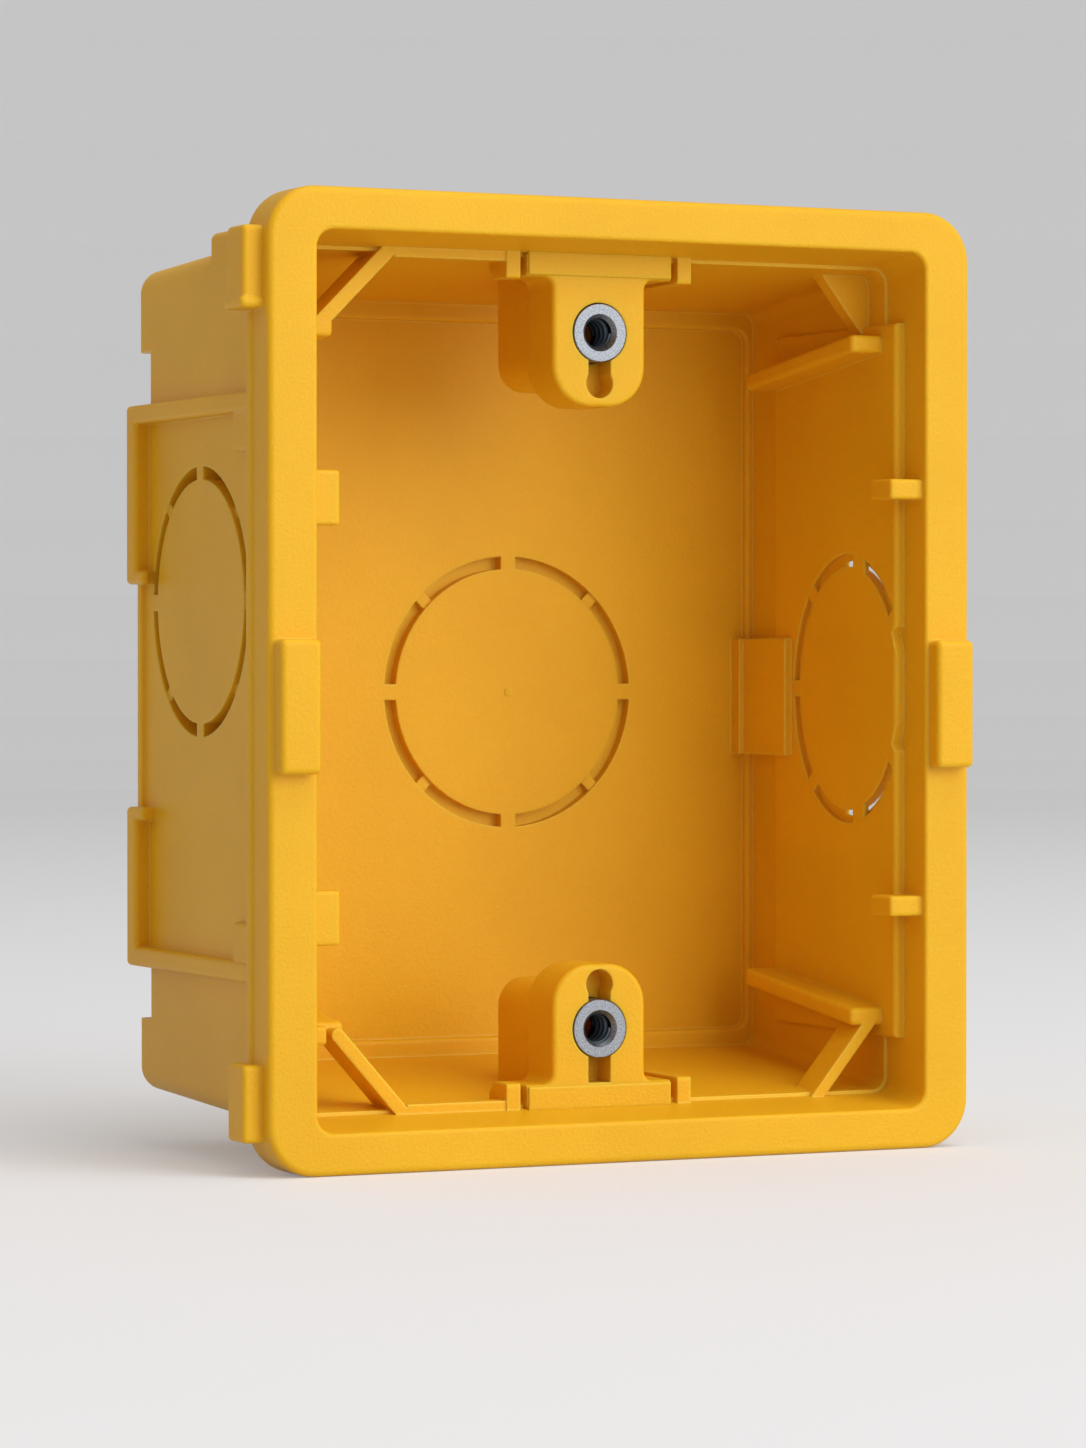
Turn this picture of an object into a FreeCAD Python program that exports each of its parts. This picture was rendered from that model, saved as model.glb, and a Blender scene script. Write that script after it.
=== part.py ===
"""Flush back box: a one-piece moulded wall box with two threaded metal inserts.

X runs to the right, Y into the wall and Z up. Depths in the values below are measured
from the front plane of the rim. The finished pieces are then moved so that the origin
lies midway between the two threaded bores, on the plane where the bores begin.
"""

import FreeCAD
import Part
import math
import os

V = FreeCAD.Vector

# The screw centres set the height: the rim ends a fixed distance beyond each of them
screw_spacing = 83.5
screw_end_inset = 15.35

# Rim
rim_width = 92.6
rim_depth = 6.9
rim_side_band = 6.1
rim_end_band = 4.9
rim_corner_radius = 6.0
rim_edge_round = 0.8
opening_corner_radius = 2.2

# Outside of the body
box_depth = 47.9
body_side_inset = 1.7
body_end_inset = 5.2
body_side_draft = 0.7
body_end_draft = 1.4
body_corner_radius = 3.0
back_edge_round = 1.0
shoulder_end_inset = 3.9
top_shoulder_depth = 23.0
bottom_shoulder_depth = 16.0
shoulder_corner_radius = 1.0

# Cavity
mouth_depth = 9.5
mouth_draft = 1.2
cavity_end_setback = 0.4
cavity_side_setback = 0.35
cavity_end_draft = 3.2
cavity_side_draft = 0.2
cavity_corner_radius = 1.6
back_wall = 2.7
border_rise = 1.2
border_side = 1.3
border_end = 2.2
border_round = 0.5

# Screw lugs and threaded inserts
screw_face_depth = 8.4
lug_width = 12.3
lug_thickness = 7.0
lug_tip_radius = 4.9
lug_edge_round = 0.6
lug_root_round = 1.2
upper_lug_reach = 8.85
lower_lug_reach = 7.75
lug_bar_width = 19.2
lug_bar_height = 1.8
tunnel_side_inset = 0.65
tunnel_tip_inset = 2.4
tunnel_length = 10.0
tunnel_tip_radius = 3.4
tunnel_end_wall = 1.5
screw_clearance_radius = 2.3
insert_radius = 3.5
insert_length = 6.6
insert_proud = 0.15
insert_thread_radius = 1.65
insert_mouth_radius = 2.25
insert_mouth_depth = 0.6
insert_edge_chamfer = 0.2
insert_seat_gap = 0.12
insert_groove_depth = 0.5
insert_groove_width = 1.2
slot_depth = 3.6
slot_width = 3.0
slot_end_radius = 1.8
upper_slot_reach = 6.05
lower_slot_reach = 5.35

# Guide ribs beside each lug bar
guide_rib_gap = 0.9
guide_rib_width = 1.8
guide_rib_drop = 2.1
guide_rib_end_rise = 0.9
guide_rib_flat_share = 0.7
left_rib_length = 5.0
right_rib_length = 13.6
floor_rib_rise = 1.15
floor_rib_length = 2.5

# Raised panels and shelves on the side walls
panel_rise = 1.3
panel_front = 5.3
panel_back = 36.5
panel_end_inset = 8.3
panel_round = 0.5
shelf_front = 8.6
shelf_reach = 4.3
lower_left_shelf_reach = 6.6
shelf_thickness = 2.2
shelf_front_inset = 10.7
shelf_back_inset = 14.1
shelf_round = 0.6
lower_left_shelf_front = 11.0
shelf_tab_reach = 3.5

# Struts from three shelves to the end walls, given by their inset from the opening's side
strut_depth = 5.2
upper_left_strut_inset = 3.5
upper_left_strut_run = 10.0
upper_left_strut_thickness = 1.7
lower_left_strut_inset = 6.2
lower_left_strut_run = 8.85
lower_left_strut_thickness = 1.6
right_strut_inset = 2.4
right_strut_run = 8.2
right_strut_thickness = 1.4

# Plate across the upper right corner, in place of a strut
corner_plate_front = 13.5
corner_plate_thickness = 2.5
corner_plate_shelf_inset = 0.4
corner_plate_end_inset = 7.7

# Wall pads, rim blocks and small tabs
pad_top = 5.3
pad_bottom = -9.6
pad_thickness = 1.0
pad_side_reach = 31.8
pad_back_reach = 1.6
block_top = 4.9
block_bottom = -10.6
block_width = 5.1
block_outer_inset = 0.6
block_rise = 2.4
block_round = 0.7
tab_front = 0.9
right_tab_depth = 5.2
left_tab_depth = 2.6
right_tab_reach = 4.4
left_tab_reach = 3.2
right_tab_height = 2.45
left_tab_height = 6.35
right_upper_tab_z = 23.35
right_lower_tab_z = -27.5
left_upper_tab_z = 21.25
left_lower_tab_z = -27.3
tab_round = 0.4

# Outer hooks on the left of the rim, and the low bead that runs between them
hook_front = 2.1
hook_depth = 5.1
hook_proud = 2.3
upper_hook_length = 9.6
upper_hook_inset = 4.6
lower_hook_length = 9.0
lower_hook_inset = 4.0
hook_round = 0.6
hook_lip_length = 1.4
hook_lip_proud = 0.4
rim_bead_front = 5.0
rim_bead_width = 1.4
rim_bead_rise = 0.3

# Ribs, fins and notches on the outside of the side walls
frame_rib_top = 33.7
frame_rib_bottom = -35.0
frame_rib_height = 2.3
frame_rib_proud = 1.4
fin_depth = 3.0
fin_length = 21.9
lower_fin_length = 19.5
fin_lip_length = 1.6
fin_lip_depth = 2.4
frame_round = 0.6
bead_depth = 1.4
bead_proud = 0.6
side_step = 0.9
notch_depth = 4.3
notch_width = 2.0
notch_height = 6.6
front_pad_length = 6.2
front_pad_height = 4.6
front_pad_proud = 1.0

# Knockouts
knockout_slot = 1.6
main_bridge = 2.0
diagonal_bridge = 1.5
diagonal_bridge_recess = 0.5
bridge_overlap = 0.2
knockout_web = 0.5
shallow_groove = 0.5
back_knockout_radius = 17.2
back_knockout_x = 5.1
back_knockout_z = -1.5
right_knockout_half_width = 14.0
right_knockout_half_height = 16.8
right_knockout_depth = 17.2
right_knockout_z = -1.0
right_disc_thickness = 1.4
right_bridge_shift = 2.8
right_end_bridge = 2.8
right_end_bridge_thickness = 0.7
right_gap_height = 0.8
right_gap_reach = 4.8
right_pocket_rim_gap = 0.4
right_pocket_back_margin = 5.2
right_pocket_end_margin = 1.8
right_pocket_corner_radius = 3.0
left_knockout_radius = 16.2
left_knockout_depth = 26.6
left_knockout_z = 9.5
gate_mark_radius = 0.5
gate_mark_rise = 0.15

# How far joined features reach into the wall that carries them, and cuts past an open end
sink = 0.8
open_end = 2.0

# The largest rounding of a small block, as a share of its shortest side
block_round_share = 0.45

# How closely a point has to match when edges are picked
match_tolerance = 0.001


# Worked out from the values above
rim_x = rim_width / 2
screw_z = screw_spacing / 2
rim_z = screw_z + screw_end_inset
opening_x = rim_x - rim_side_band
opening_z = rim_z - rim_end_band
body_x = rim_x - body_side_inset
body_z = rim_z - body_end_inset
shoulder_z = rim_z - shoulder_end_inset
border_depth = box_depth - back_wall - border_rise
field_depth = box_depth - back_wall
cavity_front_z = opening_z - mouth_draft - cavity_end_setback
cavity_back_z = cavity_front_z - cavity_end_draft
origin_depth = screw_face_depth - insert_proud + insert_mouth_depth
right_pocket_front = rim_depth + right_pocket_rim_gap

# Each strut by its corner (right or left, upper or lower): inset, run and thickness
struts = {
    (-1, 1): (upper_left_strut_inset, upper_left_strut_run, upper_left_strut_thickness),
    (-1, -1): (lower_left_strut_inset, lower_left_strut_run, lower_left_strut_thickness),
    (1, -1): (right_strut_inset, right_strut_run, right_strut_thickness),
}


def at(depth, front, back, front_value, back_value):
    """A value that changes evenly between two depths."""
    share = (depth - front) / (back - front)
    return front_value + share * (back_value - front_value)


def body_side(depth):
    return at(depth, rim_depth, box_depth, body_x, body_x - body_side_draft)


def cavity_side(depth):
    return at(depth, 0, border_depth, opening_x, opening_x - cavity_side_draft)


def cavity_end(depth):
    if depth < mouth_depth:
        return at(depth, 0, mouth_depth, opening_z, opening_z - mouth_draft)
    return at(depth, mouth_depth, border_depth, cavity_front_z, cavity_back_z)


def field_x():
    return cavity_side(border_depth) - border_side


def panel_x(depth):
    return cavity_side(depth) - panel_rise


def shelf_free_x(way, side):
    reach = lower_left_shelf_reach if (way, side) == (-1, -1) else shelf_reach
    return opening_x - panel_rise - reach


def rounded_rectangle(half_width, half_height, radius, depth):
    """A closed outline with four round corners, square to Y at the given depth."""
    edges = []
    w, h, r = half_width, half_height, radius
    mid = r * (1 - math.sqrt(0.5))
    corners = ((1, 1), (-1, 1), (-1, -1), (1, -1))
    for index, (sx, sz) in enumerate(corners):
        nx, nz = corners[(index + 1) % 4]
        on_side = V(sx * w, depth, sz * (h - r))
        on_end = V(sx * (w - r), depth, sz * h)
        middle = V(sx * (w - mid), depth, sz * (h - mid))
        first, last = (on_side, on_end) if sx * sz > 0 else (on_end, on_side)
        edges.append(Part.Arc(first, middle, last).toShape())
        if sx * sz > 0:
            follow = V(nx * (w - r), depth, nz * h)
        else:
            follow = V(nx * w, depth, nz * (h - r))
        edges.append(Part.LineSegment(last, follow).toShape())
    return Part.Wire(edges)


def prism(outline, length):
    return Part.Face(outline).extrude(V(0, length, 0))


def taper(outlines):
    return Part.makeLoft(list(outlines), True, True)


def block(x0, x1, y0, y1, z0, z1):
    low = V(min(x0, x1), min(y0, y1), min(z0, z1))
    return Part.makeBox(abs(x1 - x0), abs(y1 - y0), abs(z1 - z0), low)


def soft_block(x0, x1, y0, y1, z0, z1, radius):
    solid = block(x0, x1, y0, y1, z0, z1)
    limit = block_round_share * min(abs(x1 - x0), abs(y1 - y0), abs(z1 - z0))
    return solid.makeFillet(min(radius, limit), solid.Edges)


def side_profile(points, x0, x1):
    """A flat profile given as (depth, height) points, carried from x0 to x1."""
    corners = [V(x0, y, z) for y, z in points]
    return Part.Face(Part.makePolygon(corners + corners[:1])).extrude(V(x1 - x0, 0, 0))


def front_profile(points, y0, y1):
    """A flat profile given as (x, height) points, carried from y0 to y1."""
    corners = [V(x, y0, z) for x, z in points]
    return Part.Face(Part.makePolygon(corners + corners[:1])).extrude(V(0, y1 - y0, 0))


def rounded(solid, radius, wanted):
    """Round the edges for which every end point passes the test."""
    edges = [edge for edge in solid.Edges if all(wanted(vertex.Point) for vertex in edge.Vertexes)]
    return solid.makeFillet(radius, edges)


def near(value, target):
    return abs(value - target) < match_tolerance


def joined(first, others):
    whole = first
    for other in others:
        whole = whole.fuse(other)
    return whole.removeSplitter()


def make_rim():
    rim = prism(rounded_rectangle(rim_x, rim_z, rim_corner_radius, 0), rim_depth)
    rim = rounded(rim, rim_edge_round, lambda p: near(p.y, 0))
    return rounded(rim, rim_edge_round / 2, lambda p: near(p.y, rim_depth))


def make_body():
    front = rim_depth / 2
    back_x = body_side(box_depth)
    back_z = body_z - body_end_draft
    outlines = (
        rounded_rectangle(body_side(front), body_z, body_corner_radius, front),
        rounded_rectangle(back_x, back_z, body_corner_radius, box_depth),
    )
    body = taper(outlines)
    body = rounded(body, back_edge_round, lambda p: near(p.y, box_depth))
    return body


def make_shoulders():
    shoulders = []
    for side, depth in ((1, top_shoulder_depth), (-1, bottom_shoulder_depth)):
        front = rim_depth / 2
        outline = rounded_rectangle(body_side(depth), shoulder_z, shoulder_corner_radius, front)
        whole = prism(outline, depth - front)
        whole = rounded(whole, shoulder_corner_radius / 2, lambda p: near(p.y, depth))
        keep_z = side * (body_z - 2 * body_corner_radius)
        keep = block(-rim_x, rim_x, 0, box_depth, keep_z, side * rim_z)
        shoulders.append(whole.common(keep))
    return shoulders


def make_cavity():
    front_z = cavity_end(-open_end)
    back_z = opening_z - mouth_draft
    mouth = taper((
        rounded_rectangle(cavity_side(-open_end), front_z, opening_corner_radius, -open_end),
        rounded_rectangle(cavity_side(mouth_depth), back_z, opening_corner_radius, mouth_depth),
    ))
    start = mouth_depth - sink
    start_x = cavity_side(start) - cavity_side_setback
    start_z = at(start, mouth_depth, border_depth, cavity_front_z, cavity_back_z)
    back_x = cavity_side(border_depth) - cavity_side_setback
    body = taper((
        rounded_rectangle(start_x, start_z, cavity_corner_radius, start),
        rounded_rectangle(back_x, cavity_back_z, cavity_corner_radius, border_depth),
    ))
    field_front = border_depth - sink
    field_z = cavity_back_z - border_end
    field_outline = rounded_rectangle(field_x(), field_z, cavity_corner_radius, field_front)
    field = prism(field_outline, border_rise + sink)
    return mouth.fuse(body).fuse(field)


def make_shell():
    shell = joined(make_rim(), [make_body()] + make_shoulders())
    shell = shell.cut(make_cavity())
    shell = rounded(shell, rim_edge_round / 2, lambda p: near(p.y, 0) and is_on_opening(p))
    field_z = cavity_back_z - border_end
    is_field_edge = lambda p: near(p.y, border_depth) and is_within(p, field_x(), field_z)
    return rounded(shell, border_round, is_field_edge)


def is_on_opening(point):
    return is_within(point, opening_x, opening_z)


def is_within(point, half_width, half_height):
    return abs(point.x) < half_width + match_tolerance and abs(point.z) < half_height + match_tolerance


def tongue(half_width, tip, root, radius, front, length):
    """A plate with a round tip, standing from its root towards the middle of the box."""
    way = 1 if root > tip else -1
    mid = radius * (1 - math.sqrt(0.5))
    w = half_width
    shoulder = tip + way * radius
    left = (V(-w, front, shoulder), V(-w + mid, front, tip + way * mid), V(-w + radius, front, tip))
    right = (V(w - radius, front, tip), V(w - mid, front, tip + way * mid), V(w, front, shoulder))
    edges = (
        Part.LineSegment(V(-w, front, root), left[0]).toShape(),
        Part.Arc(*left).toShape(),
        Part.LineSegment(left[2], right[0]).toShape(),
        Part.Arc(*right).toShape(),
        Part.LineSegment(right[2], V(w, front, root)).toShape(),
        Part.LineSegment(V(w, front, root), V(-w, front, root)).toShape(),
    )
    return prism(Part.Wire(edges), length)


def make_lug(side):
    """One lug with its bar and screw tunnel. Side is 1 for the upper one, -1 for the lower."""
    front = screw_face_depth
    reach = upper_lug_reach if side > 0 else lower_lug_reach
    tip = side * (screw_z - reach)
    wall = cavity_end(front + lug_thickness)
    root = side * (wall + sink)
    bar_face = side * (wall - lug_bar_height)
    half = lug_width / 2
    plate = tongue(half, tip, root, lug_tip_radius, front, lug_thickness)
    bar = block(-lug_bar_width / 2, lug_bar_width / 2, front, front + lug_thickness, bar_face, root)
    lug = joined(plate, [bar])
    lug = rounded(lug, lug_root_round, lambda p: near(abs(p.x), half) and near(p.z, bar_face))
    lug = rounded(lug, lug_edge_round, lambda p: near(p.y, front) and not near(p.z, root))
    tunnel_tip = tip + side * tunnel_tip_inset
    tunnel_front = front + lug_thickness - sink
    tunnel_root = side * (cavity_end(tunnel_front + tunnel_length) + sink)
    tunnel_half = half - tunnel_side_inset
    tunnel_depth = tunnel_length + sink
    tunnel = tongue(tunnel_half, tunnel_tip, tunnel_root, tunnel_tip_radius, tunnel_front, tunnel_depth)
    return joined(lug, [tunnel])


def make_lug_cuts(side):
    """The insert seat, the screw bore and the slots of one lug."""
    face = V(0, screw_face_depth, side * screw_z)
    along = V(0, 1, 0)
    seat_depth = insert_length - insert_proud
    bore_end = screw_face_depth + lug_thickness + tunnel_length - tunnel_end_wall
    cuts = [
        Part.makeCylinder(insert_radius + insert_seat_gap, seat_depth + sink, face - along * sink, along),
        Part.makeCylinder(screw_clearance_radius, bore_end - screw_face_depth, face, along),
    ]
    reach = upper_slot_reach if side > 0 else lower_slot_reach
    slot_end = face - V(0, 0, side * reach)
    slot_front = screw_face_depth - sink
    slot_back = screw_face_depth + slot_depth
    end_start = V(0, slot_front, slot_end.z)
    cuts.append(Part.makeCylinder(slot_end_radius, slot_back - slot_front, end_start, along))
    cuts.append(block(-slot_width / 2, slot_width / 2, slot_front, slot_back, slot_end.z, face.z))
    if side < 0:
        bar_face = side * (cavity_end(screw_face_depth + lug_thickness) - lug_bar_height)
        cuts.append(block(-slot_width / 2, slot_width / 2, slot_front, slot_back, face.z, bar_face))
    return cuts


def make_guide_ribs(side):
    """The two ribs beside a lug bar, and the low rib that runs from the left one to its gusset."""
    ribs = []
    inner = lug_bar_width / 2 + guide_rib_gap
    outer = inner + guide_rib_width
    front = screw_face_depth
    for way, length in ((-1, left_rib_length), (1, right_rib_length)):
        wall = cavity_end(front + length)
        tip = side * (cavity_end(front + lug_thickness) - guide_rib_drop)
        root = side * (cavity_end(front) + sink)
        back_tip = side * (wall - guide_rib_end_rise)
        profile = (
            (front, root),
            (front, tip),
            (front + length * guide_rib_flat_share, tip),
            (front + length, back_tip),
            (front + length, side * (wall + sink)),
        )
        rib = side_profile(profile, way * inner, way * outer)
        ribs.append(rounded(rib, tab_round, lambda p: near(p.z, tip) and near(p.y, front)))
    strut_inset, strut_run, _ = struts[(-1, side)]
    run_end = -(opening_x - strut_inset - strut_run)
    rib_back = shelf_front + floor_rib_length
    rib_top = side * (cavity_end(shelf_front) - floor_rib_rise)
    rib_root = side * (cavity_end(shelf_front) + sink)
    ribs.append(block(run_end, -outer, shelf_front, rib_back, rib_top, rib_root))
    return ribs


def make_panels():
    panels = []
    height = opening_z - panel_end_inset
    for way in (-1, 1):
        outlines = []
        for depth in (panel_front, panel_back):
            inner, root = way * panel_x(depth), way * (cavity_side(depth) + sink)
            corners = [V(inner, depth, -height), V(inner, depth, height),
                       V(root, depth, height), V(root, depth, -height)]
            outlines.append(Part.makePolygon(corners + corners[:1]))
        panel = taper(outlines)
        face_limit = opening_x - panel_rise / 2
        panels.append(rounded(panel, panel_round, lambda p: abs(p.x) < face_limit))
    return panels


def make_shelves():
    """Four shelves, each tilted towards the middle as it runs back, and a tab before the lower left one."""
    shelves = []
    front_z = opening_z - shelf_front_inset
    back_z = opening_z - shelf_back_inset
    half = shelf_thickness / 2
    for way in (-1, 1):
        for side in (-1, 1):
            start = lower_left_shelf_front if (way, side) == (-1, -1) else shelf_front
            start_z = at(start, shelf_front, panel_back, front_z, back_z)
            profile = (
                (start, side * (start_z - half)),
                (panel_back, side * (back_z - half)),
                (panel_back, side * (back_z + half)),
                (start, side * (start_z + half)),
            )
            free_x = shelf_free_x(way, side)
            shelf = side_profile(profile, way * free_x, way * (opening_x + sink))
            limit = free_x + match_tolerance
            shelf = rounded(shelf, shelf_round, lambda p: abs(p.x) < limit or near(p.y, start))
            shelves.append(shelf)
    tab_x = opening_x - panel_rise - shelf_tab_reach
    shelves.append(soft_block(-tab_x, -(opening_x + sink), shelf_front, lower_left_shelf_front + sink,
                              -(front_z - half), -(front_z + half), tab_round))
    return shelves


def strut(close, far, thickness, depth):
    """A bar with a round end at the close point, carried back from the plane of both points."""
    along = (close - far).normalize() * (thickness / 2)
    across = V(-along.z, 0, along.x)
    far = far - along
    edges = (
        Part.Arc(close + across, close + along, close - across).toShape(),
        Part.LineSegment(close - across, far - across).toShape(),
        Part.LineSegment(far - across, far + across).toShape(),
        Part.LineSegment(far + across, close + across).toShape(),
    )
    return prism(Part.Wire(edges), depth)


def make_struts():
    """Three thin struts that run from a shelf to the end wall."""
    close_z = opening_z - shelf_front_inset
    far_z = cavity_end(shelf_front) + sink / 2
    pieces = []
    for (way, side), (inset, run, thickness) in struts.items():
        close = V(way * (opening_x - inset), shelf_front, side * close_z)
        far = V(way * (opening_x - inset - run), shelf_front, side * far_z)
        pieces.append(strut(close, far, thickness, strut_depth))
    return pieces


def make_corner_plate():
    """The plate that closes the upper right corner between its shelf and the end wall."""
    low = opening_z - shelf_front_inset
    high = cavity_end(corner_plate_front) + sink
    outer = opening_x + sink
    profile = (
        (opening_x - corner_plate_shelf_inset, low),
        (opening_x - corner_plate_end_inset, high),
        (outer, high),
        (outer, low),
    )
    return front_profile(profile, corner_plate_front, corner_plate_front + corner_plate_thickness)


def make_wall_pads():
    """Pads bent round the two upright corners between the side walls and the back wall."""
    pads = []
    wall_x = panel_x(panel_back)
    inner_x = wall_x - pad_thickness
    for way in (-1, 1):
        back = block(way * (wall_x - pad_back_reach), way * (opening_x + sink),
                     border_depth - pad_thickness, field_depth + sink, pad_bottom, pad_top)
        side = block(way * inner_x, way * (opening_x + sink),
                     pad_side_reach, field_depth + sink, pad_bottom, pad_top)
        pads.append(joined(back, [side]))
    return pads


def make_rim_blocks():
    blocks = []
    outer = rim_x - block_outer_inset
    for way in (-1, 1):
        blocks.append(soft_block(way * (outer - block_width), way * outer, -block_rise, rim_depth / 2,
                                 block_bottom, block_top, block_round))
    return blocks


def make_small_tabs():
    """Short tabs that stand into the opening just behind the rim's front."""
    tabs = []
    right_middles = (right_upper_tab_z, right_lower_tab_z)
    left_middles = (left_upper_tab_z, left_lower_tab_z)
    kinds = (
        (1, right_middles, right_tab_height / 2, right_tab_reach, right_tab_depth),
        (-1, left_middles, left_tab_height / 2, left_tab_reach, left_tab_depth),
    )
    for way, middles, half, reach, depth in kinds:
        free_x = way * (opening_x - reach)
        root_x = way * (opening_x + sink)
        for middle in middles:
            low = middle - half
            high = middle + half
            tabs.append(soft_block(free_x, root_x, tab_front, tab_front + depth, low, high, tab_round))
    return tabs


def make_hooks():
    """Two upright hooks on the left of the rim, the upper one with a round lip, and the bead between them."""
    root = -(rim_x - sink)
    outer = -(rim_x + hook_proud)
    back = hook_front + hook_depth
    upper_far = rim_z - upper_hook_inset
    upper_close = upper_far - upper_hook_length
    lower_far = lower_hook_inset - rim_z
    lower_close = lower_far + lower_hook_length
    lip = soft_block(outer - hook_lip_proud, root, hook_front - hook_lip_proud, back + hook_lip_proud / 2,
                     upper_close, upper_close + hook_lip_length, hook_round)
    bead = soft_block(-(rim_x + rim_bead_rise), root, rim_bead_front, rim_bead_front + rim_bead_width,
                      lower_close - sink, upper_close + sink, rim_bead_rise)
    return [
        soft_block(outer, root, hook_front, back, upper_close, upper_far, hook_round),
        soft_block(outer, root, hook_front, back, lower_far, lower_close, hook_round),
        lip,
        bead,
    ]


def make_side_frame(way):
    """Ribs, fins, beads and pads on the outside of one side wall."""
    pieces = []
    outer = way * (body_x + frame_rib_proud)
    root = way * (body_side(box_depth) - sink)
    back = box_depth - side_step
    spans = (
        (frame_rib_top, frame_rib_top - frame_rib_height, fin_length),
        (frame_rib_bottom, frame_rib_bottom + frame_rib_height, lower_fin_length),
    )
    for far, close, length in spans:
        pull = 1 if far > 0 else -1
        pieces.append(soft_block(outer, root, rim_depth - sink, back, far, close, frame_round))
        fin_end = far - pull * length
        pieces.append(soft_block(outer, root, back - fin_depth, back, far, fin_end, frame_round))
        lip_end = fin_end + pull * fin_lip_length
        lip_front = back - fin_depth - fin_lip_depth
        pieces.append(soft_block(outer, root, lip_front, back, lip_end, fin_end, frame_round))
        pad_end = close - pull * front_pad_height
        pad_outer = way * (body_x + front_pad_proud)
        pad_back = rim_depth + front_pad_length
        pad_start = close + pull * sink / 2
        pad_front = rim_depth - sink
        pieces.append(soft_block(pad_outer, root, pad_front, pad_back, pad_start, pad_end, frame_round))
    bead_front = back - bead_depth
    bead_outer = way * (body_side(back) + bead_proud)
    bead_low = frame_rib_bottom + lower_fin_length - sink
    bead_high = frame_rib_top - fin_length + sink
    pieces.append(soft_block(bead_outer, root, bead_front, back, bead_low, bead_high, frame_round / 2))
    return pieces


def make_side_cuts():
    """The stepped back edge between the corners, and its four notches."""
    cuts = []
    for way in (-1, 1):
        inner = way * (body_side(box_depth) - notch_width)
        outer = way * (rim_x + frame_rib_proud)
        step_front = box_depth - side_step
        cuts.append(block(inner, outer, step_front, box_depth + sink, frame_rib_bottom, frame_rib_top))
        for far in (frame_rib_top, frame_rib_bottom):
            pull = 1 if far > 0 else -1
            notch_end = far + pull * notch_height
            cuts.append(block(inner, outer, box_depth - notch_depth, box_depth + sink, far, notch_end))
    return cuts


def oval(half_width, half_height, start, length):
    """A round or upright oval post along Y."""
    if near(half_width, half_height):
        return Part.makeCylinder(half_width, length, V(0, start, 0), V(0, 1, 0))
    outline = Part.Ellipse(V(0, start, half_height), V(half_width, start, 0), V(0, start, 0))
    return prism(Part.Wire(outline.toShape()), length)


def knockout_bridges(radius, length):
    """Bars across the ring slot of a round knockout that faces along Y, all standing on Y = 0."""
    bars = []
    for step in range(8):
        main = step % 2 == 0
        width = main_bridge if main else diagonal_bridge
        recess = 0 if main else diagonal_bridge_recess
        bars.append(bridge(radius, radius, width, recess, length - recess, step))
    return Part.makeCompound(bars)


def bridge(close, far, width, front, back, step):
    """One bar that runs outward at a multiple of 45 degrees, from inside the slot to beyond it."""
    bar = block(close - knockout_slot - bridge_overlap, far + bridge_overlap, front, back, -width / 2, width / 2)
    bar.rotate(V(0, 0, 0), V(0, 1, 0), 45 * step)
    return bar


def right_bridges():
    """The bars of the right knockout. They meet ahead of its middle, and the two upright ones are thin."""
    close = right_knockout_half_width - right_bridge_shift
    bars = []
    for step in range(8):
        if step % 4 == 2:
            width, front, back = right_end_bridge, 0, right_end_bridge_thickness
        else:
            width, front, back = main_bridge, 0, right_disc_thickness
        bars.append(bridge(close, 2 * right_knockout_half_height, width, front, back, step))
    bars = Part.makeCompound(bars)
    bars.translate(V(right_bridge_shift, 0, 0))
    return bars


def ring_slot(half_width, half_height, length, bridges):
    """The ring slot of a knockout that faces along Y and starts at Y = 0, open between its bridges."""
    reach = length + 2 * sink
    outer = oval(half_width, half_height, -sink, reach)
    inner = oval(half_width - knockout_slot, half_height - knockout_slot, -sink, reach)
    return outer.cut(inner).cut(bridges)


def closed_ring_slot(radius, length, web_front):
    """A ring slot cut from both faces of a wall, with a thin web left between the two cuts."""
    reach = 2 * radius
    web = block(-reach, reach, web_front, web_front + knockout_web, -reach, reach)
    return ring_slot(radius, radius, length, knockout_bridges(radius, length)).cut(web)


def make_right_slot():
    """The slot of the right knockout: shut by a thin web but for four narrow gaps beside its disc."""
    half_width, half_height = right_knockout_half_width, right_knockout_half_height
    slot = ring_slot(half_width, half_height, right_disc_thickness, right_bridges())
    reach = 2 * half_height
    web_front = right_disc_thickness - knockout_web
    rim_part = right_knockout_depth - right_pocket_front + sink
    front_cut = block(-reach, reach, -sink, web_front, -reach, reach)
    rim_cut = block(rim_part, reach, -sink, right_disc_thickness, -reach, reach)
    slot = slot.common(front_cut.fuse(rim_cut))

    disc_width, disc_height = half_width - knockout_slot, half_height - knockout_slot
    gap_front = web_front - sink / 2
    gap_length = knockout_web + sink
    gaps = oval(disc_width, disc_height + right_gap_height, gap_front, gap_length)
    gaps = gaps.cut(oval(disc_width, disc_height, gap_front, gap_length))
    gap_back_x, gap_front_x = right_bridge_shift - right_gap_reach, right_bridge_shift + right_gap_reach
    gap_field = block(gap_back_x, gap_front_x, gap_front, gap_front + gap_length, -reach, reach)
    gaps = gaps.common(gap_field).cut(right_bridges())
    return slot.fuse(gaps)


def make_knockout_cuts():
    back_web_front = back_wall - shallow_groove - knockout_web
    back = closed_ring_slot(back_knockout_radius, back_wall, back_web_front)
    back.translate(V(back_knockout_x, field_depth, back_knockout_z))

    right = make_right_slot()
    right.rotate(V(0, 0, 0), V(0, 0, 1), -90)
    right.translate(V(panel_x(right_knockout_depth), right_knockout_depth, right_knockout_z))

    left_thickness = body_side(left_knockout_depth) - panel_x(left_knockout_depth)
    left = closed_ring_slot(left_knockout_radius, left_thickness, shallow_groove)
    left.rotate(V(0, 0, 0), V(0, 0, 1), 90)
    left.translate(V(-panel_x(left_knockout_depth), left_knockout_depth, left_knockout_z))
    return [back, right, left, make_right_pocket()]


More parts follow.
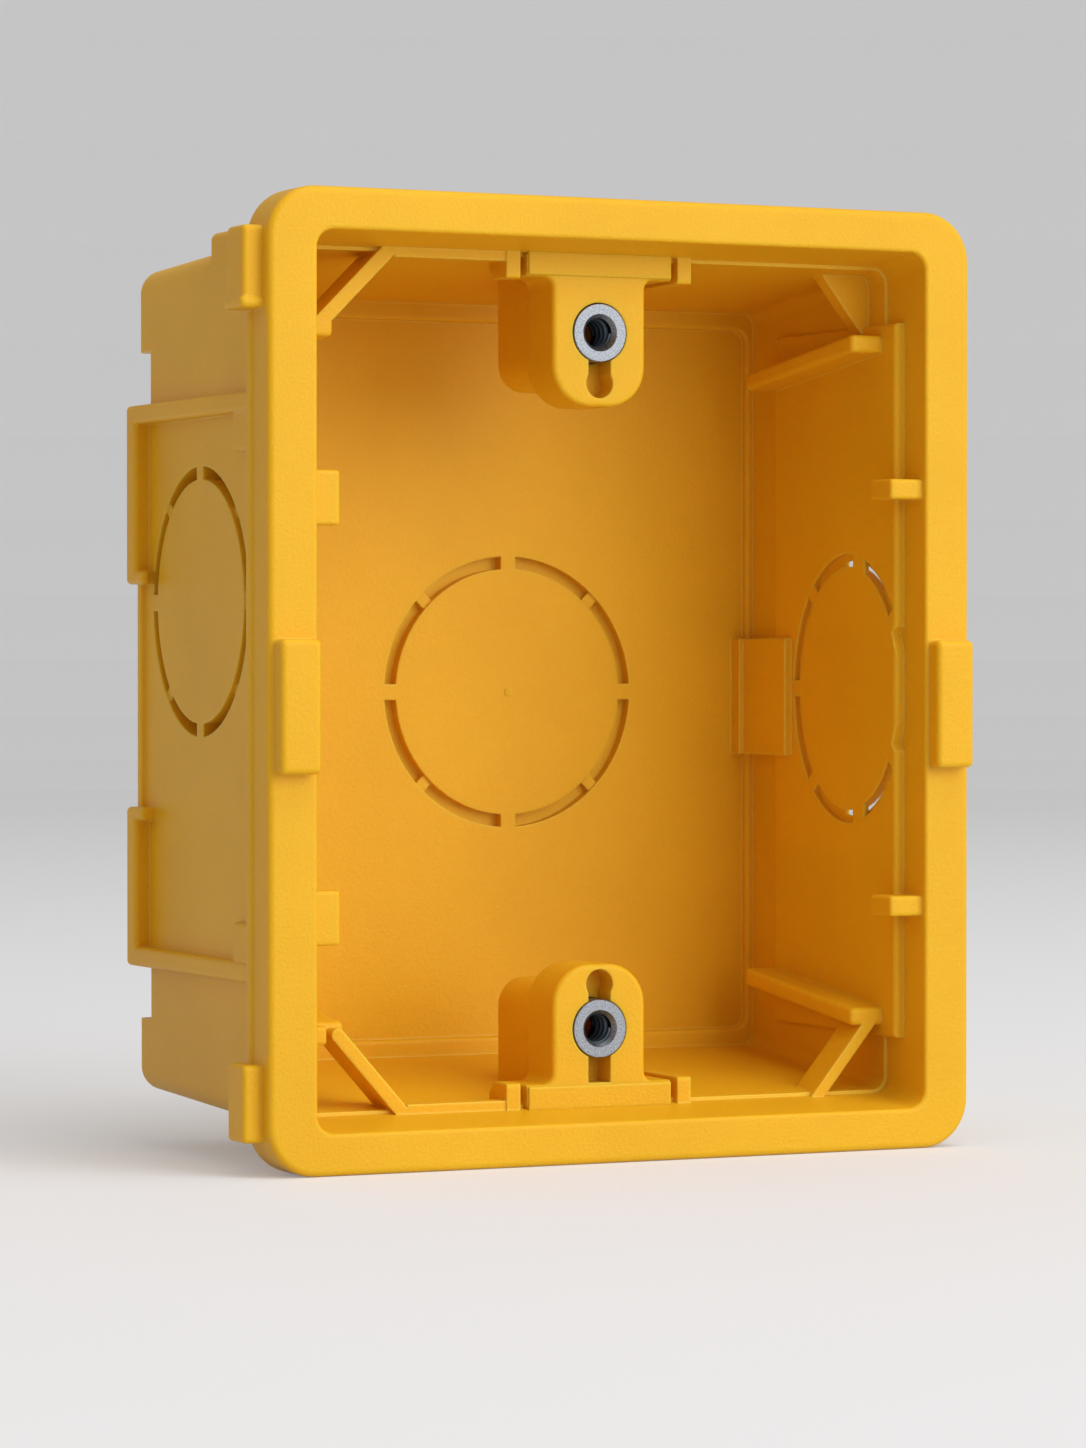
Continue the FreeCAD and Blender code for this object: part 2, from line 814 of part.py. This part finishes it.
def make_right_pocket():
    """The hollow outside the right knockout, kept behind the rim."""
    floor_x = panel_x(right_knockout_depth) + right_disc_thickness
    back = right_knockout_depth + right_knockout_half_width + right_pocket_back_margin
    half = right_knockout_half_height + right_pocket_end_margin
    low, high = right_knockout_z - half, right_knockout_z + half
    pocket = block(floor_x, 2 * rim_x, right_pocket_front, back, low, high)
    is_upright = lambda edge: near(edge.Length, 2 * rim_x - floor_x)
    return pocket.makeFillet(right_pocket_corner_radius, [edge for edge in pocket.Edges if is_upright(edge)])


def make_gate_mark():
    start = V(back_knockout_x, field_depth - gate_mark_rise, back_knockout_z)
    return Part.makeCylinder(gate_mark_radius, gate_mark_rise + sink, start, V(0, 1, 0))


def make_box():
    shell = make_shell()
    pieces = make_panels() + make_shelves() + make_struts() + make_wall_pads()
    pieces += make_rim_blocks() + make_small_tabs() + make_hooks()
    pieces += make_side_frame(-1) + make_side_frame(1)
    for side in (-1, 1):
        pieces += [make_lug(side)] + make_guide_ribs(side)
    pieces += [make_corner_plate(), make_gate_mark()]
    box = joined(shell, pieces)
    cuts = make_side_cuts() + make_knockout_cuts()
    for side in (-1, 1):
        cuts += make_lug_cuts(side)
    return box.cut(cuts)


def make_insert(side):
    """A turned bush with a chamfered mouth, a tapping-size bore and a locking groove."""
    front = screw_face_depth - insert_proud
    back = front + insert_length
    r = insert_radius
    chamfer = insert_edge_chamfer
    groove_front = front + (insert_length - insert_groove_width) / 2
    groove_back = groove_front + insert_groove_width
    points = (
        (insert_mouth_radius, front),
        (r - chamfer, front),
        (r, front + chamfer),
        (r, groove_front),
        (r - insert_groove_depth, groove_front),
        (r - insert_groove_depth, groove_back),
        (r, groove_back),
        (r, back - chamfer),
        (r - chamfer, back),
        (insert_thread_radius, back),
        (insert_thread_radius, front + insert_mouth_depth),
    )
    corners = [V(x, y, 0) for x, y in points]
    bush = Part.Face(Part.makePolygon(corners + corners[:1])).revolve(V(0, 0, 0), V(0, 1, 0), 360)
    bush.translate(V(0, 0, side * screw_z))
    return bush


def main():
    os.makedirs("parts", exist_ok=True)
    nodes = {
        "box_body": make_box(),
        "upper_insert": make_insert(1),
        "lower_insert": make_insert(-1),
    }
    for name, shape in nodes.items():
        shape.translate(V(0, -origin_depth, 0))
        print(name, len(shape.Solids), shape.isValid(), round(shape.Volume, 1), len(shape.Faces))
        shape.exportStep("parts/" + name + ".step")


main()
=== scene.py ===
import math

import bpy
from mathutils import Matrix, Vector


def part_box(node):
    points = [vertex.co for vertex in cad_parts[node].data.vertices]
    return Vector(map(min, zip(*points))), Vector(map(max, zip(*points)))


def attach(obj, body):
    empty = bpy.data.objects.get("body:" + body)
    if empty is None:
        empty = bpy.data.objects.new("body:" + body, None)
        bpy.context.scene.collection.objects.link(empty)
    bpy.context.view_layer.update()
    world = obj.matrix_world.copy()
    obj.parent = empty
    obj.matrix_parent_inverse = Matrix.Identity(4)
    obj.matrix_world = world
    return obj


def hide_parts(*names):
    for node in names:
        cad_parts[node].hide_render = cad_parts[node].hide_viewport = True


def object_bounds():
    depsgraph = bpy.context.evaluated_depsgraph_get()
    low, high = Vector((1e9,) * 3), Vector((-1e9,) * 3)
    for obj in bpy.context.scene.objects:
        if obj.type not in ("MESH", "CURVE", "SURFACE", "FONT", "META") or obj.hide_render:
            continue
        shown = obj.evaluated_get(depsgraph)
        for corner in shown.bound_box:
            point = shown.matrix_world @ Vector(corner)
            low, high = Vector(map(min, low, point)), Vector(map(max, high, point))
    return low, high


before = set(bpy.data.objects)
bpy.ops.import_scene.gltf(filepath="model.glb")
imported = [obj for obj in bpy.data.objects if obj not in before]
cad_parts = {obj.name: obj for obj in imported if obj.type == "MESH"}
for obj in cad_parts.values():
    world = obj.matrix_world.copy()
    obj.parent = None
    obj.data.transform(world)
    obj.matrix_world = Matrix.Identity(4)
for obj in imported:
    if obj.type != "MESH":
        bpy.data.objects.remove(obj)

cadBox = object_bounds()
mm = 0.001
edgeSamples = 6  # rays that feel for an edge where shading rounds it

# Every colour is linear, as Blender's own colour fields are


# wraps a socket, so that shader maths reads like maths
class Value:
    def __init__(self, maker, socket):
        self.maker = maker
        self.socket = socket

    def math(self, operation, *terms):
        node = self.maker.node("ShaderNodeMath", {"operation": operation}, dict(enumerate(terms)))
        return Value(self.maker, node.outputs[0])

    def __add__(self, other):
        return self.math("ADD", self, other)

    def __radd__(self, other):
        return self.math("ADD", other, self)

    def __sub__(self, other):
        return self.math("SUBTRACT", self, other)

    def __rsub__(self, other):
        return self.math("SUBTRACT", other, self)

    def __mul__(self, other):
        return self.math("MULTIPLY", self, other)

    def __rmul__(self, other):
        return self.math("MULTIPLY", other, self)

    def __pow__(self, other):
        return self.math("POWER", self, other)

    def __rpow__(self, other):
        return self.math("POWER", other, self)

    def __gt__(self, other):
        return self.math("GREATER_THAN", self, other)

    def __lt__(self, other):
        return self.math("LESS_THAN", self, other)

    def __abs__(self):
        return self.math("ABSOLUTE", self)


class Finish:
    def __init__(self, name):
        self.material = bpy.data.materials.new(name)
        self.material.use_nodes = True
        self.tree = self.material.node_tree
        self.shader = self.tree.nodes["Principled BSDF"]
        self.place = self.node("ShaderNodeTexCoord").outputs["Object"]

    def node(self, kind, settings=None, inputs=None):
        made = self.tree.nodes.new(kind)
        for key, value in (settings or {}).items():
            if key == "stops":
                self.setStops(made, value)
            else:
                setattr(made, key, value)
        for key, value in (inputs or {}).items():
            self.feed(made.inputs[key], value)
        return made

    # a ramp comes with two stops, which are used first
    def setStops(self, made, stops):
        ramp = made.color_ramp
        for index, (position, colour) in enumerate(stops):
            stop = ramp.elements[index] if index < 2 else ramp.elements.new(position)
            stop.position = position
            stop.color = (*colour, 1)

    def feed(self, socket, value):
        if isinstance(value, Value):
            value = value.socket
        if isinstance(value, bpy.types.NodeSocket):
            self.tree.links.new(value, socket)
        else:
            socket.default_value = value

    def setShader(self, **values):
        for key, value in values.items():
            self.feed(self.shader.inputs[key.replace("_", " ")], value)

    def noise(self, size, detail=2.0, roughness=0.5):
        made = self.node("ShaderNodeTexNoise", inputs={
            "Vector": self.place,
            "Scale": 1 / size,
            "Detail": detail,
            "Roughness": roughness,
        })
        return Value(self, made.outputs["Fac"])

    def mix(self, share, first, second):
        made = self.node("ShaderNodeMix", {"data_type": "RGBA"}, {"Factor": share})
        colours = [socket for socket in made.inputs if socket.type == "RGBA"]
        self.feed(colours[0], first)
        self.feed(colours[1], second)
        return [socket for socket in made.outputs if socket.type == "RGBA"][0]

    def axes(self):
        made = self.node("ShaderNodeSeparateXYZ", inputs={"Vector": self.place})
        return [Value(self, socket) for socket in made.outputs]

    def ramp(self, value, stops):
        made = self.node("ShaderNodeValToRGB", {"stops": stops}, {"Fac": value})
        return made.outputs["Color"]

    def softEdges(self, radius):
        made = self.node("ShaderNodeBevel", {"samples": edgeSamples}, {"Radius": radius})
        return made.outputs["Normal"]

    # 1 on flat faces, and less where the softened normal leans away from the face
    def likeFace(self, normal):
        face = self.node("ShaderNodeNewGeometry").outputs["Normal"]
        made = self.node("ShaderNodeVectorMath", {"operation": "DOT_PRODUCT"}, {0: normal, 1: face})
        return Value(self, made.outputs["Value"])

    def bump(self, height, distance, normal):
        made = self.node("ShaderNodeBump", inputs={
            "Height": height,
            "Distance": distance,
            "Normal": normal,
        })
        return made.outputs["Normal"]


# Plastic of the box. The clouds and the grain shade the colour, and their noise is read between
# "darkBelow" and "brightAbove".
plastic = {
    "dark": (0.80, 0.43, 0.010),
    "bright": (0.87, 0.48, 0.014),
    "darkBelow": 0.30,
    "brightAbove": 0.70,
    "cloudShare": 0.75,
    "cloudSize": 18 * mm,
    "grainSize": 0.42 * mm,
    "rippleSize": 2.4 * mm,
    "grainDepth": 0.095 * mm,
    "grainShare": 0.8,
    "roughness": 0.42,
    "roughnessSpread": 0.14,
    "edgeRadius": 0.44 * mm,
    # painted highlight: the pale colour that edges are painted towards
    "edgeHighlightColour": (1.0, 0.66, 0.075),
    "edgeContrast": 4.5,
    "edgePolish": 0.16,
    "refraction": 1.49,
    "gloss": 0.31,
    "glossTint": (1.0, 0.84, 0.62),
    "glow": 0.30,
    "glowReach": 2.4 * mm,
    "glowSpread": (1.0, 0.45, 0.08),
}


def makePlastic():
    finish = Finish("warmYellowPlastic")
    clouds = finish.noise(plastic["cloudSize"], detail=3)
    grain = finish.noise(plastic["grainSize"], detail=3, roughness=0.6)
    ripple = finish.noise(plastic["rippleSize"])
    cloudShare, grainShare = plastic["cloudShare"], plastic["grainShare"]
    colour = finish.ramp(clouds * cloudShare + grain * (1 - cloudShare), (
        (plastic["darkBelow"], plastic["dark"]),
        (plastic["brightAbove"], plastic["bright"]),
    ))
    # painted highlight: edges, convex and concave alike, are painted paler than the grained faces;
    # they are also smoother
    soft = finish.softEdges(plastic["edgeRadius"])
    edgeHighlightAndPolish = (1 - finish.likeFace(soft)) * plastic["edgeContrast"]
    colour = finish.mix(edgeHighlightAndPolish, colour, (*plastic["edgeHighlightColour"], 1))
    smoothest = plastic["roughness"] - plastic["roughnessSpread"] / 2
    rough = smoothest + grain * plastic["roughnessSpread"] - edgeHighlightAndPolish * plastic["edgePolish"]
    height = grain * grainShare + ripple * (1 - grainShare)
    finish.setShader(
        Base_Color=colour,
        Roughness=rough,
        Normal=finish.bump(height, plastic["grainDepth"], soft),
        IOR=plastic["refraction"],
        Specular_IOR_Level=plastic["gloss"],
        Specular_Tint=(*plastic["glossTint"], 1),
        Subsurface_Weight=plastic["glow"],
        Subsurface_Scale=plastic["glowReach"],
        Subsurface_Radius=plastic["glowSpread"],
    )
    return finish.material


# Plated metal of the inserts. In the bore the colour is painted shade: it goes from crest to a near
# black root over "crestReach", between the shares "crestUpTo" and "rootFrom" of it.
plating = {
    "dark": (0.12, 0.132, 0.150),
    "bright": (0.36, 0.38, 0.41),
    "darkBelow": 0.30,
    "brightAbove": 0.70,
    "grainSize": 0.20 * mm,
    "grainDepth": 0.020 * mm,
    "roughness": 0.34,
    "roughnessSpread": 0.20,
    "edgeRadius": 0.05 * mm,
    "crest": (0.26, 0.31, 0.36),
    "root": (0.012, 0.016, 0.022),
    "crestReach": 0.42 * mm,
    "crestUpTo": 0.15,
    "rootFrom": 0.75,
    "boreRadius": 2.08 * mm,
    "mouthMargin": 0.02 * mm,
}


def makePlating():
    finish = Finish("platedMetal")
    grain = finish.noise(plating["grainSize"], detail=3, roughness=0.6)
    colour = finish.ramp(grain, (
        (plating["darkBelow"], plating["dark"]),
        (plating["brightAbove"], plating["bright"]),
    ))
    # painted shade: the bore is painted dark, near black at the thread's roots and lighter on its
    # crests; the lower insert mirrors the upper
    x, y, z = finish.axes()
    low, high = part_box("upper_insert")
    rise = abs(z) - (low.z + high.z) / 2
    radius = (x * x + rise * rise) ** 0.5
    share = (radius - insert["crestRadius"]) * (1 / plating["crestReach"])
    thread = finish.ramp(share, (
        (plating["crestUpTo"], plating["crest"]),
        (plating["rootFrom"], plating["root"]),
    ))
    behindMouth = y > low.y + insert["chamferDepth"] + plating["mouthMargin"]
    boreShadeMask = (radius < plating["boreRadius"]) * behindMouth
    soft = finish.softEdges(plating["edgeRadius"])
    finish.setShader(
        Base_Color=finish.mix(boreShadeMask, colour, thread),
        Metallic=1.0,
        Roughness=plating["roughness"] + grain * plating["roughnessSpread"],
        Normal=finish.bump(grain, plating["grainDepth"], soft),
    )
    return finish.material


def deselectAll():
    if bpy.context.mode != "OBJECT":
        bpy.ops.object.mode_set(mode="OBJECT")
    bpy.ops.object.select_all(action="DESELECT")


def activate(piece):
    deselectAll()
    piece.select_set(True)
    bpy.context.view_layer.objects.active = piece


# Inserts: a turned bush with a chamfered mouth, a lip behind it, and a thread wound in its bore
insert = {
    "rootRadius": 2.00 * mm,
    "crestRadius": 1.66 * mm,
    "mouthRadius": 2.25 * mm,
    "lipRadius": 1.80 * mm,
    "lipWidth": 0.15 * mm,
    "chamferDepth": 0.60 * mm,
    "outerChamfer": 0.09 * mm,
    "grooveDepth": 0.50 * mm,
    "grooveWidth": 1.20 * mm,
    "pitch": 1.15 * mm,
    "ridgeShare": 0.80,
    "rootOverlap": 0.05 * mm,
    "steps": 64,
    "mergeWithin": 0.002 * mm,
    "sharpAbove": 28,  # degrees between two faces
}


# pulls a circle through the rows of radius and depth, and back to the first, about the Y axis
def turnRing(name, rows):
    deselectAll()
    radius, depth = rows[0]
    bpy.ops.mesh.primitive_circle_add(
        vertices=insert["steps"], radius=radius,
        location=(0, depth, 0), rotation=(math.pi / 2, 0, 0))
    piece = bpy.context.object
    piece.name = name
    bpy.ops.object.transform_apply(location=True, rotation=True, scale=True)
    bpy.ops.object.mode_set(mode="EDIT")
    bpy.ops.mesh.select_all(action="SELECT")
    for nextRadius, nextDepth in rows[1:] + rows[:1]:
        step = (0, nextDepth - depth, 0)
        ratio = nextRadius / radius
        bpy.ops.mesh.extrude_edges_move(TRANSFORM_OT_translate={"value": step})
        bpy.ops.transform.resize(value=(ratio, 1, ratio), center_override=(0, nextDepth, 0))
        radius, depth = nextRadius, nextDepth
    bpy.ops.mesh.select_all(action="SELECT")
    bpy.ops.mesh.remove_doubles(threshold=insert["mergeWithin"])
    bpy.ops.mesh.normals_make_consistent(inside=False)
    bpy.ops.object.mode_set(mode="OBJECT")
    return piece


def windThread(name, front, back):
    height = insert["rootRadius"] + insert["rootOverlap"] - insert["crestRadius"]
    halfWidth = insert["pitch"] * insert["ridgeShare"] / 2
    # an even triangle is 1.5 times its circle's radius high
    circle = height / 1.5
    halfSide = circle * math.sin(math.pi / 3)
    deselectAll()
    # the first corner of the triangle is turned to point at the axis
    bpy.ops.mesh.primitive_circle_add(
        vertices=3, radius=circle, fill_type="NGON", rotation=(0, 0, math.pi / 2),
        location=(insert["crestRadius"] + circle, front + halfWidth, 0))
    piece = bpy.context.object
    piece.name = name
    piece.scale.x = halfWidth / halfSide
    bpy.ops.object.transform_apply(location=True, rotation=True, scale=True)
    bpy.ops.object.modifier_add(type="SCREW")
    screw = piece.modifiers[-1]
    screw.axis = "Y"
    screw.angle = 2 * math.pi
    screw.screw_offset = insert["pitch"]
    screw.iterations = int((back - front - 2 * halfWidth) / insert["pitch"])
    screw.steps = screw.render_steps = insert["steps"]
    screw.use_normal_calculate = True
    bpy.ops.object.modifier_apply(modifier=screw.name)
    bpy.ops.object.mode_set(mode="EDIT")
    bpy.ops.mesh.select_all(action="SELECT")
    bpy.ops.mesh.fill_holes(sides=3)
    bpy.ops.mesh.normals_make_consistent(inside=False)
    bpy.ops.object.mode_set(mode="OBJECT")
    return piece


def makeInsert(node, material):
    low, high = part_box(node)
    centre = (low + high) / 2
    outer = (high.x - low.x) / 2
    front, middle, back = low.y, (low.y + high.y) / 2, high.y
    chamfer = insert["outerChamfer"]
    groove = outer - insert["grooveDepth"]
    halfGroove = insert["grooveWidth"] / 2
    lipFront = front + insert["chamferDepth"]
    lipBack = lipFront + insert["lipWidth"]
    bush = turnRing(node + "_bush", (
        (insert["mouthRadius"], front),
        (outer - chamfer, front),
        (outer, front + chamfer),
        (outer, middle - halfGroove),
        (groove, middle - halfGroove),
        (groove, middle + halfGroove),
        (outer, middle + halfGroove),
        (outer, back - chamfer),
        (outer - chamfer, back),
        (insert["rootRadius"], back),
        (insert["rootRadius"], lipBack),
        (insert["lipRadius"], lipBack),
        (insert["lipRadius"], lipFront),
    ))
    thread = windThread(node + "_thread", lipFront, back)
    activate(bush)
    thread.select_set(True)
    bpy.ops.object.join()
    bush.data.transform(Matrix.Translation((centre.x, 0, centre.z)))
    bush.name = bush.data.name = node + "_threaded"
    activate(bush)
    bpy.ops.object.shade_smooth_by_angle(angle=math.radians(insert["sharpAbove"]))
    bush.data.materials.clear()
    bush.data.materials.append(material)
    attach(bush, "root")
    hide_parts(node)


# The face of each lug's bar, which stands a little proud of the lug and runs on to the end wall
barFace = {
    "width": 19.0 * mm,
    "front": -0.78 * mm,
    "depth": 1.50 * mm,
    "start": 48.45 * mm,
    "height": 2.85 * mm,
    "edgeRound": 0.14 * mm,
}


# side is 1 for the upper lug and -1 for the lower
def makeBarFace(name, side, material):
    deselectAll()
    middleDepth = barFace["front"] + barFace["depth"] / 2
    middleHeight = barFace["start"] + barFace["height"] / 2
    bpy.ops.mesh.primitive_cube_add(
        size=1, location=(0, middleDepth, side * middleHeight),
        scale=(barFace["width"], barFace["depth"], barFace["height"]))
    face = bpy.context.object
    face.name = face.data.name = name
    bpy.ops.object.transform_apply(location=True, rotation=True, scale=True)
    bpy.ops.object.mode_set(mode="EDIT")
    bpy.ops.mesh.select_all(action="SELECT")
    bpy.ops.mesh.bevel(offset=barFace["edgeRound"], segments=2)
    bpy.ops.object.mode_set(mode="OBJECT")
    face.data.materials.append(material)
    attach(face, "root")


# Floor: a flat disc whose edge sweeps up, so that no horizon shows
studioFloor = {
    "colour": (0.66, 0.66, 0.67),
    "roughness": 0.85,
    "glow": 0.22,
    "sides": 96,
    "flatRadius": 1.5,
    "sweepRadius": 1.0,
    "sweepAngle": math.pi / 3,
    "sweepSteps": 12,
}


def makeFloor():
    deselectAll()
    bpy.ops.mesh.primitive_circle_add(
        vertices=studioFloor["sides"], radius=studioFloor["flatRadius"], fill_type="NGON",
        location=(0, 0, cadBox[0].z))
    floor = bpy.context.object
    floor.name = "floor"
    bpy.ops.object.transform_apply(location=True, rotation=True, scale=True)
    bpy.ops.object.mode_set(mode="EDIT")
    bpy.ops.mesh.select_all(action="SELECT")
    radius, height = studioFloor["flatRadius"], 0
    for step in range(1, studioFloor["sweepSteps"] + 1):
        angle = studioFloor["sweepAngle"] * step / studioFloor["sweepSteps"]
        nextRadius = studioFloor["flatRadius"] + studioFloor["sweepRadius"] * math.sin(angle)
        nextHeight = studioFloor["sweepRadius"] * (1 - math.cos(angle))
        rise = (0, 0, nextHeight - height)
        ratio = nextRadius / radius
        bpy.ops.mesh.extrude_region_move(TRANSFORM_OT_translate={"value": rise})
        bpy.ops.transform.resize(value=(ratio, ratio, 1), center_override=(0, 0, 0))
        radius, height = nextRadius, nextHeight
    # the last face would close the bowl
    bpy.ops.mesh.delete(type="ONLY_FACE")
    bpy.ops.object.mode_set(mode="OBJECT")
    finish = Finish("paleFloor")
    rays = finish.node("ShaderNodeLightPath").outputs
    camera = Value(finish, rays["Is Camera Ray"])
    glossy = Value(finish, rays["Is Glossy Ray"])
    through = Value(finish, rays["Is Transmission Ray"])
    finish.setShader(
        Base_Color=(*studioFloor["colour"], 1),
        Roughness=studioFloor["roughness"],
        Emission_Color=camera + glossy + through,
        Emission_Strength=studioFloor["glow"],
    )
    floor.data.materials.append(finish.material)


# Light: a soft room and three round lamps that point at the origin
room = {"colour": (0.82, 0.82, 0.82), "strength": 0.45}
lamps = {
    "key": {"place": (0.60, -1.30, 0.42), "size": 1.60, "power": 19.0, "tint": (1.0, 1.0, 1.0)},
    "top": {"place": (0.15, -0.35, 1.30), "size": 0.90, "power": 6.0, "tint": (1.0, 1.0, 1.0)},
    "side": {"place": (-0.85, 0.05, 0.50), "size": 0.70, "power": 0.6, "tint": (1.0, 0.50, 0.15)},
}


def makeLight():
    world = bpy.data.worlds.new("softRoom")
    world.use_nodes = True
    background = world.node_tree.nodes["Background"]
    background.inputs["Color"].default_value = (*room["colour"], 1)
    background.inputs["Strength"].default_value = room["strength"]
    bpy.context.scene.world = world
    for name, values in lamps.items():
        data = bpy.data.lights.new(name, "AREA")
        data.shape = "DISK"
        data.size = values["size"]
        data.energy = values["power"]
        data.color = values["tint"]
        lamp = bpy.data.objects.new(name, data)
        lamp.location = values["place"]
        lamp.rotation_euler = (-lamp.location).to_track_quat("-Z", "Y").to_euler()
        bpy.context.scene.collection.objects.link(lamp)
    bpy.context.scene.view_settings.view_transform = "Standard"


# Camera: "turn" is to the right and "dip" below level, in degrees
lens = {
    "place": (-0.2629, -0.53585, 0.0022),
    "turn": 25.5,
    "dip": 0.707,
    "focalLength": 123.56,
    "sensorWidth": 36,
    "clipStart": 0.01,
}


def makeCamera():
    data = bpy.data.cameras.new("camera")
    data.lens = lens["focalLength"]
    data.sensor_width = lens["sensorWidth"]
    data.clip_start = lens["clipStart"]
    camera = bpy.data.objects.new("camera", data)
    camera.location = lens["place"]
    camera.rotation_euler = (math.radians(90 - lens["dip"]), 0, math.radians(-lens["turn"]))
    bpy.context.scene.collection.objects.link(camera)
    bpy.context.scene.camera = camera


yellow = makePlastic()
metal = makePlating()
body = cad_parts["box_body"]
body.data.materials.clear()
body.data.materials.append(yellow)
print("box body finished")

for node in ("upper_insert", "lower_insert"):
    makeInsert(node, metal)
print("threaded inserts made")

for name, side in (("upper_bar_face", 1), ("lower_bar_face", -1)):
    makeBarFace(name, side, yellow)
print("lug bars faced")

makeFloor()
makeLight()
makeCamera()
print("floor, light and camera set")
